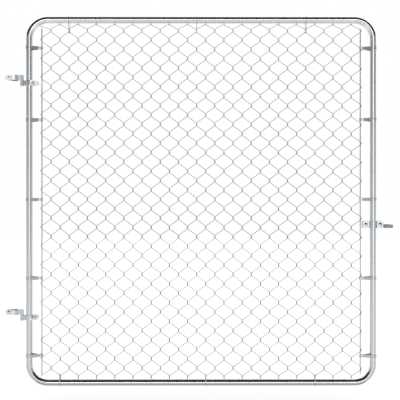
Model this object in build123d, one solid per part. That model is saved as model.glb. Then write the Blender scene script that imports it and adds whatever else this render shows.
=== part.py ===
from build123d import *
import math
import os

# ---------------------------------------------------------------------------
# Livestock panel gate: a round-cornered tube frame filled with chain-link
# fabric, hung on two strap-and-pin hinges and held shut by a drop fork.
#
# Frame of the part, in millimetres: +X runs along the gate from the hinges to
# the fork, +Z is up, -Y is the front. The origin is the centre of the lower
# post clamp, on the axis of the post tube that the gate hangs from.
# ---------------------------------------------------------------------------

# ----- frame tube ----------------------------------------------------------
GATE_W = 1737.0            # over the stiles
GATE_H = 1829.0            # over the rails, 6 ft
TUBE_D = 31.75             # 1 1/4 in tube
TUBE_WALL = 1.65
BEND_R = 92.0              # corner bends, on the tube's centreline
SLEEVE_L = 130.0           # splice inside each stile
SLEEVE_WALL = 2.0
SLEEVE_CLEAR = 0.20

# ----- hinges --------------------------------------------------------------
STRAP_H = 25.4             # 1 in strap
STRAP_T = 3.0
CLAMP_CLEAR = 0.075        # strap on its tube, per side
PIN_D = 12.7
PIN_RUN = 0.07             # per side, in the gate's barrel
PIN_SEAT = 0.03            # per side, in the post's barrel
PIN_OFFSET = 36.2          # pin axis from either tube axis
EAR_END = 46.6             # end of the ears from the tube axis
EAR_BOLT = 30.4            # bolt from the tube axis
EAR_GAP = 5.0
HALF_GAP = 0.5             # between the post strap and the frame strap
HEAD_T = 2.4               # pin head that carries the gate
HEAD_GAP = 0.25
HINGE_SPAN = 1162.0        # lower to upper post strap
LOWER_STRAP_Z = 364.5      # lower post strap above the bottom of the frame

# ----- fasteners, 5/16 in --------------------------------------------------
BOLT_D = 7.9
DOME_D = 18.3
DOME_H = 4.4
NUT_AF = 12.7
NUT_H = 6.75
WASHER_D = 20.0
WASHER_T = 1.9
WASHER_HOLE = 9.5

# ----- chain-link fabric ---------------------------------------------------
WIRE_D = 3.05              # 11 gauge
COLS = 36                  # columns of knots, the outer two on the bars
COL0_X = 78.05             # first and last column from the frame's outer edges
COL_PITCH = (GATE_W - 2 * COL0_X) / (COLS - 1)
ROWS = 19                  # knots up an odd column
ROW_PITCH = 93.09
ROW_TOP = 1761.5           # top knot of an odd column above the frame's bottom
KNOT_H = 5.6               # half height of a knot
KNOT_X = 1.72              # half distance between the two wires of a knot
WEAVE_Y = 4.95             # half thickness of the flattened spiral, to wire centre
SELVAGE_TOP = 1795.0       # wire ends under the top rail
SELVAGE_BOT = 41.0         # last knots above the bottom rail
SELVAGE_H = 6.5
CORNER_TOP = 1785.4        # the same for the first wire, inside the corner bends
CORNER_BOT = 47.3
CORNER_H = 4.6

# ----- tension bars and bands ----------------------------------------------
BAR_D = 6.35
BAR_LOW = 57.0
BAR_HIGH = 1770.0
BAND_H = 16.0
BAND_T = 2.0
BAND_NECK_0 = 45.0         # flat neck, from the tube axis
RIVET_X = 48.2
RIVET_D = 3.2
RIVET_HEAD_D = 5.6
RIVET_HEAD_H = 1.1
BANDS_HINGE = [1674.8, 1317.9, 922.9, 533.0, 149.0]
BANDS_LATCH = [1673.4, 1320.0, 923.7, 533.0, 146.9]
# bands that close over a knot: opened wider, hooked from the front (+1) or
# from behind (-1), whichever side no run of the fabric leaves on
WIDE_HINGE = {4: -1}
WIDE_LATCH = {0: 1, 2: 1, 3: -1}

# ----- ties ----------------------------------------------------------------
TIE_D = 2.9
TOP_TIE_COLS = (3, 17, 29)
BOT_TIE_COLS = (2, 18, 30)

# ----- fork latch ----------------------------------------------------------
LATCH_Z = 799.0            # pivot above the bottom of the frame
CLAMP_H = 36.0
CLAMP_T = 3.2
CLAMP_GAP = 6.4            # between the front and back clamp plates
CLAMP_EAR = 53.3           # ear ends from the stile axis
CLAMP_BOLT = 35.0          # clamp bolt and pivot from the stile axis
FORK_H = 17.0
FORK_TOP = 0.5             # top of the fork above the pivot
FORK_T = 3.2
FORK_GAP = 38.4            # between the prongs
FORK_WEB = 18.7            # web from the pivot
FORK_END = 57.4            # prong tips from the pivot
FORK_FLARE = 8.0
LUG_T = 6.0
LUG_R = 9.0
PIVOT_RUN = 0.07

# ----- derived -------------------------------------------------------------
R_TUBE = TUBE_D / 2
Z0 = -LOWER_STRAP_Z                    # bottom of the frame in part Z
X_PIN = PIN_OFFSET
X_LEFT = 2 * PIN_OFFSET                # hinge stile axis
X0 = X_LEFT - R_TUBE                   # outer edge of the frame
X_RIGHT = X0 + GATE_W - R_TUBE         # latch stile axis
Z_BOT = Z0 + R_TUBE                    # bottom rail axis
Z_TOP = Z0 + GATE_H - R_TUBE           # top rail axis
Z_MID = Z0 + GATE_H / 2
BAR_L_X = X0 + COL0_X
BAR_R_X = BAR_L_X + (COLS - 1) * COL_PITCH
X_PIVOT = X_RIGHT + CLAMP_BOLT
Z_PIVOT = Z0 + LATCH_Z

os.makedirs("parts", exist_ok=True)
made = {}


def save(name, solids):
    shape = solids[0] if len(solids) == 1 else Compound(children=list(solids))
    made[name] = solids
    export_step(shape, "parts/" + name + ".step")


def one(shape):
    found = shape.solids()
    assert len(found) == 1, len(found)
    return found[0]


def strip(points, width):
    """A flat strip of one width along straight runs, round at its joints."""
    sk = Sketch()
    for (ax, ay), (bx, by) in zip(points, points[1:]):
        run = math.hypot(bx - ax, by - ay)
        ang = math.degrees(math.atan2(by - ay, bx - ax))
        sk += Pos((ax + bx) / 2, (ay + by) / 2) * Rot(0, 0, ang) * Rectangle(run, width)
    for (ax, ay) in points[1:-1]:
        sk += Pos(ax, ay) * Circle(width / 2)
    return sk


# ---------------------------------------------------------------------------
# Frame: two U-bent tubes butted at mid height over a sleeve in each stile
# ---------------------------------------------------------------------------
def u_tube(z_rail):
    path = Plane.XZ * FilletPolyline(
        (X_LEFT, Z_MID), (X_LEFT, z_rail), (X_RIGHT, z_rail), (X_RIGHT, Z_MID),
        radius=BEND_R)
    plane = Plane(origin=path @ 0, z_dir=path % 0)
    ring = plane * (Circle(R_TUBE) - Circle(R_TUBE - TUBE_WALL))
    return one(sweep(ring, path=path))


save("frame_upper_u", [u_tube(Z_TOP)])
save("frame_lower_u", [u_tube(Z_BOT)])

sleeve_r = R_TUBE - TUBE_WALL - SLEEVE_CLEAR
sleeves = []
for x in (X_LEFT, X_RIGHT):
    tube = Cylinder(sleeve_r, SLEEVE_L) - Cylinder(sleeve_r - SLEEVE_WALL, SLEEVE_L)
    sleeves.append(one(Pos(x, 0, Z_MID) * tube))
save("frame_splice_sleeves", sleeves)


# ---------------------------------------------------------------------------
# Chain-link fabric: flattened spirals, each hooked through its neighbour.
# Front runs rise to the right, back runs rise to the left.
# ---------------------------------------------------------------------------
def odd_z(i):                          # knots of an odd column, 0 at the top
    return Z0 + ROW_TOP - i * ROW_PITCH


def even_z(j):
    return odd_z(j) - ROW_PITCH / 2


def col_x(c):
    return BAR_L_X + c * COL_PITCH


END_X = BAR_D / 2 + WIRE_D / 2 + 0.2   # bend round a tension bar


def wire_points(k):
    t = WEAVE_Y
    left = col_x(k) - (END_X if k == 0 else KNOT_X)
    right = col_x(k + 1) + (END_X if k + 1 == COLS - 1 else KNOT_X)
    zb = Z0 + (CORNER_BOT if k == 0 else SELVAGE_BOT)
    zt = Z0 + (CORNER_TOP if k == 0 else SELVAGE_TOP)
    hb = CORNER_H if k == 0 else SELVAGE_H
    pts = []

    def bend_left(z, h):
        pts.extend([(left, t, z - h), (left, -t, z + h)])

    def bend_right(z, h):
        pts.extend([(right, -t, z - h), (right, t, z + h)])

    if k % 2 == 0:                     # even column on the left
        bend_left(zb, hb)
        for i in reversed(range(ROWS)):
            bend_right(odd_z(i), KNOT_H)
            if i > 0:
                bend_left(even_z(i - 1), KNOT_H)
        pts.extend([(left, t, zt), (left, 1.0, zt - 0.3)])
    else:
        bend_right(zb, SELVAGE_H)
        for i in reversed(range(ROWS)):
            bend_left(odd_z(i), KNOT_H)
            if i > 0:
                bend_right(even_z(i - 1), KNOT_H)
        pts.extend([(right, -t, zt), (right, -1.0, zt - 0.3)])
    return pts


def wire_solid(k):
    path = Polyline(*wire_points(k))
    plane = Plane(origin=path @ 0, z_dir=path % 0)
    return one(sweep(plane * Circle(WIRE_D / 2), path=path, transition=Transition.RIGHT))


first = wire_solid(0)
even_wire = wire_solid(2)
odd_wire = wire_solid(1)
last = wire_solid(COLS - 2)
wires = []
for k in range(COLS - 1):
    if k == 0:
        wires.append(first)
    elif k == COLS - 2:
        wires.append(last)
    elif k % 2 == 0:
        wires.append(Pos((k - 2) * COL_PITCH, 0, 0) * even_wire)
    else:
        wires.append(Pos((k - 1) * COL_PITCH, 0, 0) * odd_wire)
save("chain_link_wires_even", wires[0::2])
save("chain_link_wires_odd", wires[1::2])

# ---------------------------------------------------------------------------
# Tension bars: round rods through the outer bends of the fabric
# ---------------------------------------------------------------------------
bar_len = BAR_HIGH - BAR_LOW
for name, x in (("tension_bar_hinge_side", BAR_L_X), ("tension_bar_latch_side", BAR_R_X)):
    rod = Pos(x, 0, Z0 + (BAR_HIGH + BAR_LOW) / 2) * Cylinder(BAR_D / 2, bar_len)
    rod = chamfer(rod.edges(), 0.6)
    save(name, [one(rod)])

# ---------------------------------------------------------------------------
# Tension bands: a strap round the stile, pinched to a riveted neck, with the
# front leg hooked round the bar. Some close over a knot of the fabric.
# ---------------------------------------------------------------------------
BAR_OFF = BAR_L_X - X_LEFT             # bar axis from the stile axis
BAND_RIN = R_TUBE + CLAMP_CLEAR
LAYER = BAND_T / 2 + 0.06              # middle of either layer in the neck


def leg_points():
    """Tangent point on the wrap's middle line, and the start of the neck."""
    rm = BAND_RIN + BAND_T / 2
    px, py = BAND_NECK_0, LAYER
    d = math.hypot(px, py)
    phi = math.atan2(py, px)
    beta = math.acos(rm / d)
    tx, ty = rm * math.cos(phi + beta), rm * math.sin(phi + beta)
    run = math.hypot(px - tx, py - ty)
    back = 0.5 / run                   # starts just inside the end of the wrap
    return (tx, ty), (tx - (px - tx) * back, ty - (py - ty) * back), (px, py)


def band_profile(wide):
    (wx, wy), (tx, ty), (nx, ny) = leg_points()
    wrap = Circle(BAND_RIN + BAND_T) - Circle(BAND_RIN)
    # the wrap runs behind the tube, between the two tangent points
    wrap -= Polygon((0, 0), (wx * 2, wy * 2), (60, 0), (wx * 2, -wy * 2), align=None)
    sk = wrap
    eye_in = BAR_D / 2 + 0.15
    eye_mid = eye_in + BAND_T / 2
    if not wide:
        sk += strip([(tx, -ty), (nx, -ny), (BAR_OFF - 4.1, -ny)], BAND_T)
        sk += strip([(tx, ty), (nx, ny), (BAR_OFF - 5.8, ny)], BAND_T)
        eye = Pos(BAR_OFF, 0) * (Circle(eye_in + BAND_T) - Circle(eye_in))
        # free end of the hook, clear of the back layer
        a0, a1 = math.radians(140), math.radians(181)
        eye -= Polygon((BAR_OFF, 0),
                       (BAR_OFF + 12 * math.cos(a0), 12 * math.sin(a0)),
                       (BAR_OFF + 12 * math.cos(a1), 12 * math.sin(a1)), align=None)
        sk += eye
    else:
        reach = WEAVE_Y + WIRE_D / 2 + 0.45 + BAND_T / 2
        xs = BAR_OFF - END_X - WIRE_D / 2 - 0.6
        xe = BAR_OFF + eye_mid
        sk += strip([(tx, -ty), (nx, -ny), (xs - 3.2, -ny), (xs - 0.5, -reach),
                     (xe - 2.2, -reach), (xe, -reach + 2.6), (xe, 1.4)], BAND_T)
        sk += strip([(tx, ty), (nx, ny), (xs - 3.2, ny), (xs - 0.5, reach),
                     (BAR_OFF + 2.0, reach)], BAND_T)
    return sk


def band(wide):
    body = extrude(band_profile(wide), BAND_H / 2, both=True)
    hole = Pos(RIVET_X, 0, 0) * Rot(90, 0, 0) * Cylinder(RIVET_D / 2 + 0.05, 12)
    return one(body - hole)


def rivet():
    half = LAYER + BAND_T / 2 + 0.02
    shank = Cylinder(RIVET_D / 2, 2 * half)
    r = (RIVET_HEAD_D ** 2 / 4 + RIVET_HEAD_H ** 2) / (2 * RIVET_HEAD_H)
    cap = Pos(0, 0, half + RIVET_HEAD_H - r) * Sphere(r)
    cap &= Pos(0, 0, half + RIVET_HEAD_H / 2) * Box(20, 20, RIVET_HEAD_H)
    body = shank + cap + mirror(cap, about=Plane.XY)
    return one(Rot(90, 0, 0) * body)


tight = band(False)
wide = {1: band(True)}
wide[-1] = mirror(wide[1], about=Plane.XZ)
rivet_solid = rivet()
left_bands, right_bands, rivets = [], [], []
for n, z in enumerate(BANDS_HINGE):
    left_bands.append(Pos(X_LEFT, 0, Z0 + z) * (wide[WIDE_HINGE[n]] if n in WIDE_HINGE else tight))
    rivets.append(Pos(X_LEFT + RIVET_X, 0, Z0 + z) * rivet_solid)
for n, z in enumerate(BANDS_LATCH):
    shape = wide[WIDE_LATCH[n]] if n in WIDE_LATCH else tight
    right_bands.append(Pos(X_RIGHT, 0, Z0 + z) * mirror(shape, about=Plane.YZ))
    rivets.append(Pos(X_RIGHT - RIVET_X, 0, Z0 + z) * rivet_solid)
save("tension_bands_hinge_side", [one(b) for b in left_bands])
save("tension_bands_latch_side", [one(b) for b in right_bands])
save("tension_band_rivets", [one(b) for b in rivets])


# ---------------------------------------------------------------------------
# Wire ties: over the rail and hooked through the mesh beyond the knot
# ---------------------------------------------------------------------------
def tie(x, z_rail, z_hook):
    up = 1 if z_rail > z_hook else -1
    rt = R_TUBE + 0.25 + TIE_D / 2
    y_leg = WEAVE_Y + WIRE_D / 2 + TIE_D / 2 + 0.35
    dy, dz = y_leg, abs(z_rail - z_hook)
    d = math.hypot(dy, dz)
    phi = math.atan2(-dz, dy)
    beta = math.acos(rt / d)
    ty, tz = rt * math.cos(phi + beta), rt * math.sin(phi + beta)

    def p(y, z):                       # z measured from the rail, away from the mesh
        return (x, y, z_rail + up * z)

    front = FilletPolyline(p(-2.2, -dz), p(-y_leg, -dz), p(-ty, tz), radius=2.6)
    over = ThreePointArc(p(-ty, tz), p(0, rt), p(ty, tz))
    back = FilletPolyline(p(ty, tz), p(y_leg, -dz), p(2.2, -dz), radius=2.6)
    path = Wire(front.edges() + over.edges() + back.edges())
    plane = Plane(origin=path @ 0, z_dir=path % 0)
    return one(sweep(plane * Circle(TIE_D / 2), path=path))


hook_drop = KNOT_H + WIRE_D / 2 + TIE_D / 2 + 3.6
save("top_rail_ties", [tie(col_x(c), Z_TOP, odd_z(0) - hook_drop) for c in TOP_TIE_COLS])
hook_rise = SELVAGE_H + WIRE_D / 2 + TIE_D / 2 + 3.6
save("bottom_rail_ties",
     [tie(col_x(c), Z_BOT, Z0 + SELVAGE_BOT + hook_rise) for c in BOT_TIE_COLS])


# ---------------------------------------------------------------------------
# Fasteners, along Y: the seat of the head is at y = 0 and the shank goes +Y
# ---------------------------------------------------------------------------
def carriage_bolt(length, neck):
    r = (DOME_D ** 2 / 4 + DOME_H ** 2) / (2 * DOME_H)
    dome = Pos(0, 0, DOME_H - r) * Sphere(r)
    dome &= Pos(0, 0, DOME_H / 2) * Box(30, 30, DOME_H)
    rim = Cylinder(DOME_D / 2, 0.5, align=(Align.CENTER, Align.CENTER, Align.MIN))
    dome = dome + rim
    square = Pos(0, 0, -neck / 2) * Box(BOLT_D, BOLT_D, neck)
    shank = Pos(0, 0, -length / 2) * Cylinder(BOLT_D / 2, length)
    shank = chamfer(shank.edges().sort_by(Axis.Z)[0], 0.8)
    return one(Rot(90, 0, 0) * (dome + square + shank))


def hex_nut():
    r = NUT_AF / math.sqrt(3)
    nut = extrude(RegularPolygon(r, 6), NUT_H)
    limit = Cylinder(r, NUT_H, align=(Align.CENTER, Align.CENTER, Align.MIN))
    limit = chamfer(limit.edges().sort_by(Axis.Z)[-1], 0.7, 1.4)
    nut = (nut & limit) - Pos(0, 0, NUT_H / 2) * Cylinder(BOLT_D / 2 + 0.03, NUT_H + 2)
    return one(Rot(-90, 0, 0) * nut)


def washer():
    ring = Cylinder(WASHER_D / 2, WASHER_T, align=(Align.CENTER, Align.CENTER, Align.MIN))
    ring -= Cylinder(WASHER_HOLE / 2, WASHER_T * 3)
    return one(Rot(-90, 0, 0) * ring)


hinge_bolt = carriage_bolt(25.4, 4.4)
nut_solid = hex_nut()
washer_solid = washer()
EAR_Y = EAR_GAP / 2 + STRAP_T          # outer face of an ear


# ---------------------------------------------------------------------------
# Hinge straps: one bent strap each, a large loop round the tube, a pinched
# neck, and a small loop round the pin. Drawn with the ears towards -X.
# ---------------------------------------------------------------------------
def hinge_strap(bore_r, head_front):
    rin = R_TUBE + CLAMP_CLEAR
    rout = rin + STRAP_T
    barrel = bore_r + STRAP_T
    outer = Circle(rout) + Pos(PIN_OFFSET, 0) * Circle(barrel)
    outer += Pos((rin + PIN_OFFSET) / 2, 0) * Rectangle(PIN_OFFSET - rin, 2 * STRAP_T + 0.3)
    outer += Pos(-(EAR_END + rin) / 2, 0) * Rectangle(EAR_END - rin, 2 * EAR_Y)
    inside = [v for v in outer.vertices()
              if -EAR_END + 5 < v.X < PIN_OFFSET and abs(v.Y) > 2]
    outer = fillet(inside, 2.4)
    inner = Circle(rin) + Pos(PIN_OFFSET, 0) * Circle(bore_r)
    inner += Pos((rin - 2 + PIN_OFFSET) / 2, 0) * Rectangle(PIN_OFFSET - rin + 2, 0.3)
    inner += Pos(-(EAR_END + 4 + rin) / 2, 0) * Rectangle(EAR_END + 4 - rin + 1.2, EAR_GAP)
    body = extrude(outer - inner, STRAP_H / 2, both=True)
    # rounded ear ends, front view
    outline = Pos((60 - EAR_END) / 2, 0) * Rectangle(EAR_END + 60, STRAP_H)
    outline = fillet([v for v in outline.vertices() if v.X < 0], STRAP_H / 2 - 0.3)
    body &= Plane.XZ * extrude(outline, 60, both=True)
    # square hole under the head, round hole under the nut
    s = -1 if head_front else 1
    body -= Pos(-EAR_BOLT, s * (EAR_GAP + STRAP_T) / 2, 0) * Box(BOLT_D + 0.3, STRAP_T + 1, BOLT_D + 0.3)
    body -= Pos(-EAR_BOLT, -s * (EAR_GAP + STRAP_T) / 2, 0) * Rot(90, 0, 0) * Cylinder(BOLT_D / 2 + 0.3, STRAP_T + 1)
    return one(body)


post_strap = hinge_strap(PIN_D / 2 + PIN_SEAT, True)
# the frame strap is the same part turned half a turn about the vertical
frame_strap = Rot(0, 0, 180) * hinge_strap(PIN_D / 2 + PIN_RUN, True)

DROP = STRAP_H + HALF_GAP
post_z = {"lower": 0.0, "upper": HINGE_SPAN}
for key, z in post_z.items():
    save(key + "_post_hinge_strap", [one(Pos(0, 0, z) * post_strap)])
    save(key + "_frame_hinge_strap", [one(Pos(X_LEFT, 0, z - DROP) * frame_strap)])
    bottom = -DROP - STRAP_H / 2 - HEAD_GAP
    top = STRAP_H / 2 + 1.2
    shank = Cylinder(PIN_D / 2, top - bottom, align=(Align.CENTER, Align.CENTER, Align.MIN))
    shank = chamfer(shank.edges().sort_by(Axis.Z)[-1], 0.9)
    head = Cylinder(PIN_D / 2 + STRAP_T, HEAD_T, align=(Align.CENTER, Align.CENTER, Align.MAX))
    head = fillet(head.edges().sort_by(Axis.Z)[0], 1.2)
    save(key + "_hinge_pin", [one(Pos(X_PIN, 0, z + bottom) * (shank + head))])

# post side: heads to the front, nuts behind
pb, pw, pn = [], [], []
for z in post_z.values():
    at = Pos(-EAR_BOLT, 0, z)
    pb.append(one(at * Pos(0, -EAR_Y, 0) * hinge_bolt))
    pw.append(one(at * Pos(0, EAR_Y, 0) * washer_solid))
    pn.append(one(at * Pos(0, EAR_Y + WASHER_T, 0) * nut_solid))
save("post_hinge_bolts", pb)
save("post_hinge_washers", pw)
save("post_hinge_nuts", pn)

# gate side: heads behind, nuts to the front
gb, gw, gn = [], [], []
for z in post_z.values():
    at = Pos(X_LEFT + EAR_BOLT, 0, z - DROP) * Rot(0, 0, 180)
    gb.append(one(at * Pos(0, -EAR_Y, 0) * hinge_bolt))
    gw.append(one(at * Pos(0, EAR_Y, 0) * washer_solid))
    gn.append(one(at * Pos(0, EAR_Y + WASHER_T, 0) * nut_solid))
save("frame_hinge_bolts", gb)
save("frame_hinge_washers", gw)
save("frame_hinge_nuts", gn)

# ---------------------------------------------------------------------------
# Fork latch: two clamp plates round the latch stile, and a fork that pivots
# on the outer bolt and drops over the fixed tube beside the gate
# ---------------------------------------------------------------------------
PLATE_Y = CLAMP_GAP / 2 + CLAMP_T      # outer face of a clamp plate


def clamp_plate(front):
    rin = R_TUBE + CLAMP_CLEAR
    rout = rin + CLAMP_T
    outer = Circle(rout) + Rectangle(2 * CLAMP_EAR, 2 * PLATE_Y)
    inside = [v for v in outer.vertices() if abs(v.X) < CLAMP_EAR - 5]
    outer = fillet(inside, 3.0)
    inner = Circle(rin) + Rectangle(2 * CLAMP_EAR + 4, CLAMP_GAP)
    half = (outer - inner) & (Pos(0, -30) * Rectangle(2 * CLAMP_EAR + 10, 60))
    body = extrude(half, CLAMP_H / 2, both=True)
    # ear outlines in the front view: round corners, and a round shoulder
    # about the pivot that the fork's web passes over
    h = CLAMP_H / 2
    e = CLAMP_EAR
    shoulder = Circle(e - CLAMP_BOLT - 0.1)
    outline = Pos(-e / 2 + 10, 0) * Rectangle(e + 20, CLAMP_H)
    outline = fillet([v for v in outline.vertices() if v.X < -e + 1], 8.0)
    outline += Pos(CLAMP_BOLT / 2, 0) * Rectangle(CLAMP_BOLT, CLAMP_H)
    right = Pos(CLAMP_BOLT, 0) * shoulder
    right += Pos((CLAMP_BOLT + e) / 2, -h / 2) * Rectangle(e - CLAMP_BOLT, h)
    right = fillet([v for v in right.vertices() if v.X > e - 1 and v.Y < -h + 1], 3.0)
    outline += right
    cutter = Plane.XZ * extrude(outline, 60, both=True)
    body &= cutter
    if front:
        for x in (-CLAMP_BOLT, CLAMP_BOLT):
            body -= Pos(x, -PLATE_Y + CLAMP_T / 2, 0) * Box(BOLT_D + 0.3, CLAMP_T + 1, BOLT_D + 0.3)
    else:
        body = mirror(body, about=Plane.XZ)
        for x in (-CLAMP_BOLT, CLAMP_BOLT):
            body -= Pos(x, PLATE_Y - CLAMP_T / 2, 0) * Rot(90, 0, 0) * Cylinder(BOLT_D / 2 + 0.3, CLAMP_T + 1)
    return one(Pos(X_RIGHT, 0, Z_PIVOT) * body)


save("latch_clamp_front", [clamp_plate(True)])
save("latch_clamp_back", [clamp_plate(False)])

latch_bolt = carriage_bolt(28.6, CLAMP_T)
for name, x in (("clamp", X_RIGHT - CLAMP_BOLT), ("pivot", X_PIVOT)):
    save("latch_" + name + "_bolt", [one(Pos(x, -PLATE_Y, Z_PIVOT) * latch_bolt)])
    save("latch_" + name + "_nut", [one(Pos(x, PLATE_Y, Z_PIVOT) * nut_solid)])

# fork: U of flat bar with flared tips, on a lug that sits between the plates
yi = FORK_GAP / 2
yo = yi + FORK_T
xi = FORK_WEB
xo = FORK_WEB + FORK_T
xf = FORK_END - FORK_FLARE
flare = 2.6
u = Polygon((FORK_END, -yo - flare), (xf, -yo), (xi, -yo), (xi, yo), (xf, yo),
            (FORK_END, yo + flare), (FORK_END, yi + flare), (xf, yi), (xo, yi),
            (xo, -yi), (xf, -yi), (FORK_END, -yi - flare), align=None)


def corner(sk, x, r):
    return fillet([v for v in sk.vertices() if abs(v.X - x) < 0.01], r)


u = corner(u, xi, 6.0)
u = corner(u, xo, 2.8)
u = corner(u, xf, 9.0)
fork = Pos(0, 0, FORK_TOP - FORK_H) * extrude(u, FORK_H, dir=(0, 0, 1))
fork = fillet([e for e in fork.edges().filter_by(Axis.Y, tolerance=25)
               if e.center().X > FORK_END - 0.5 and abs(e.center().Y) > yi], 3.0)
lug = Circle(LUG_R) + Polygon((0, LUG_R), (xi + 1, FORK_TOP), (xi + 1, FORK_TOP - FORK_H + 2),
                              (-1.0, -LUG_R + 0.05), align=None)
fork += Plane.XZ * extrude(lug, LUG_T / 2, both=True)
fork -= Rot(90, 0, 0) * Cylinder(BOLT_D / 2 + PIVOT_RUN, 40)
save("latch_fork", [one(Pos(X_PIVOT, 0, Z_PIVOT) * fork)])

# ---------------------------------------------------------------------------
for name, solids in made.items():
    volume = sum(s.volume for s in solids)
    print(f"{name:32s} {len(solids):3d} solids {volume / 1000:10.2f} cm3")
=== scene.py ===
"""Looks of the livestock panel gate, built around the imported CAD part.

Lengths in this script are millimetres until a mesh is made. Positions come
from the boxes of the CAD nodes; every piece but the hidden sleeves replaces its
CAD node with a smooth mesh: rounded edges, rolled threads, chamfered nuts, knuckled wire ends.
"""

import math

import bpy
import numpy as np
from mathutils.geometry import tessellate_polygon
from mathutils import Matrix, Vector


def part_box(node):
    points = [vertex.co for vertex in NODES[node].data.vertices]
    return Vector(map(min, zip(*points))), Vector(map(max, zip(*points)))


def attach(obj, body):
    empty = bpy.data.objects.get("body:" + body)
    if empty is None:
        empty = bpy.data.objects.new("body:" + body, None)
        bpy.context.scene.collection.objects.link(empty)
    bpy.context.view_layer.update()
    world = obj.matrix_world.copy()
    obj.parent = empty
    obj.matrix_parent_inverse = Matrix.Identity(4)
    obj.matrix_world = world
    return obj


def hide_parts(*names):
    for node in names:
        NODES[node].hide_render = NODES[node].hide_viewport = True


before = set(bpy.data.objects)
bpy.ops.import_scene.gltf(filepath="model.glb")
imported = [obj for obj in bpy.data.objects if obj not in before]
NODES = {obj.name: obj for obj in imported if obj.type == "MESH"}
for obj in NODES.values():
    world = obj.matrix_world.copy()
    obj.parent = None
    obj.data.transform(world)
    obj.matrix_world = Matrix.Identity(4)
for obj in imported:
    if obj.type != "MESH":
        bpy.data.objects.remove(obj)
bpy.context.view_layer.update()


def box(node):
    lo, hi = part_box(node)
    return np.array(lo) * 1000.0, np.array(hi) * 1000.0


# ---------------------------------------------------------------------------
# Sizes of the sections, and places from the CAD nodes
# ---------------------------------------------------------------------------
R_TUBE = 15.875
TUBE_WALL = 1.65
BEND_R = 92.0
u_lo, u_hi = box("frame_upper_u")
l_lo, l_hi = box("frame_lower_u")
X_LEFT = u_lo[0] + R_TUBE
X_RIGHT = u_hi[0] - R_TUBE
Z_TOP = u_hi[2] - R_TUBE
Z_BOT = l_lo[2] + R_TUBE
Z_MID = (u_lo[2] + l_hi[2]) / 2
Z0 = l_lo[2]

rod_lo, rod_hi = box("tension_bar_hinge_side")
BAR_D = 6.35
BAR_L_X = (rod_lo[0] + rod_hi[0]) / 2
BAR_Z = (rod_lo[2], rod_hi[2])
rod_lo, rod_hi = box("tension_bar_latch_side")
BAR_R_X = (rod_lo[0] + rod_hi[0]) / 2
BAR_OFF = BAR_L_X - X_LEFT

COLS, ROWS = 36, 19
COL_PITCH = (BAR_R_X - BAR_L_X) / (COLS - 1)
ROW_PITCH = 93.09
ROW_TOP = 1761.5
KNOT_H = 5.6
KNOT_X = 1.72
WEAVE_Y = 4.95
WIRE_D = 3.05
END_X = BAR_D / 2 + WIRE_D / 2 + 0.2
SELVAGE_TOP, SELVAGE_BOT, SELVAGE_H = 1795.0, 41.0, 6.5
CORNER_TOP, CORNER_BOT, CORNER_H = 1785.4, 47.3, 4.6

STRAP_H, STRAP_T = 25.4, 3.0
PIN_R = 6.35
PIN_OFFSET = 36.2
EAR_END, EAR_BOLT, EAR_Y = 46.6, 30.4, 5.5
CLAMP_CLEAR = 0.075

BOLT_D, DOME_D, DOME_H = 7.9, 18.3, 4.4
NUT_AF, NUT_H = 12.7, 6.75
WASHER_D, WASHER_T, WASHER_HOLE = 20.0, 1.9, 9.5
THREAD = 1.41

BANDS_HINGE = [1674.8, 1317.9, 922.9, 533.0, 149.0]
BANDS_LATCH = [1673.4, 1320.0, 923.7, 533.0, 146.9]
WIDE_HINGE = {4: -1}
WIDE_LATCH = {0: 1, 2: 1, 3: -1}
BAND_T, BAND_HALF = 2.0, 8.0
BAND_NECK = 45.0
RIVET_X = 48.2

TIE_D = 2.9
TOP_TIE_COLS = (3, 17, 29)
BOT_TIE_COLS = (2, 18, 30)

CLAMP_T, CLAMP_EAR, CLAMP_BOLT = 3.2, 53.3, 35.0
PLATE_Y = 6.4
c_lo, c_hi = box("latch_clamp_front")
Z_PIVOT = (c_lo[2] + c_hi[2]) / 2
X_PIVOT = X_RIGHT + CLAMP_BOLT


# ---------------------------------------------------------------------------
# Mesh helpers
# ---------------------------------------------------------------------------
class Geo:
    """Vertices in mm, faces, and where it is known a normal for each vertex."""

    def __init__(self):
        self.v, self.n, self.f, self.count = [], [], [], 0

    def add(self, verts, faces, normals=None):
        verts = np.asarray(verts, float)
        self.v.append(verts)
        if normals is not None:
            self.n.append(np.asarray(normals, float))
        base = self.count
        self.f.extend([tuple(i + base for i in f) for f in faces])
        self.count += len(verts)

    def copy(self, shift=(0, 0, 0), turn=None, mirror=None):
        """A moved copy. turn is a 3x3 matrix, mirror an axis number."""
        g = Geo()
        v = np.concatenate(self.v)
        n = np.concatenate(self.n) if self.n else None
        f = list(self.f)
        if mirror is not None:
            v = v.copy()
            v[:, mirror] *= -1
            if n is not None:
                n = n.copy()
                n[:, mirror] *= -1
            f = [tuple(reversed(q)) for q in f]
        if turn is not None:
            v = v @ np.asarray(turn).T
            if n is not None:
                n = n @ np.asarray(turn).T
        g.add(v + np.asarray(shift, float), f, n)
        return g

    def join(self, other):
        v = np.concatenate(other.v)
        n = np.concatenate(other.n) if other.n else None
        self.add(v, other.f, n)
        return self


def turn_z(deg):
    a = math.radians(deg)
    return np.array([[math.cos(a), -math.sin(a), 0], [math.sin(a), math.cos(a), 0], [0, 0, 1]])


# along +Z made along -Y, so that a bolt's head faces the front
Z_TO_FRONT = np.array([[1, 0, 0], [0, 0, -1], [0, 1, 0]], float)
Z_TO_BACK = np.array([[1, 0, 0], [0, 0, 1], [0, -1, 0]], float)


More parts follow.
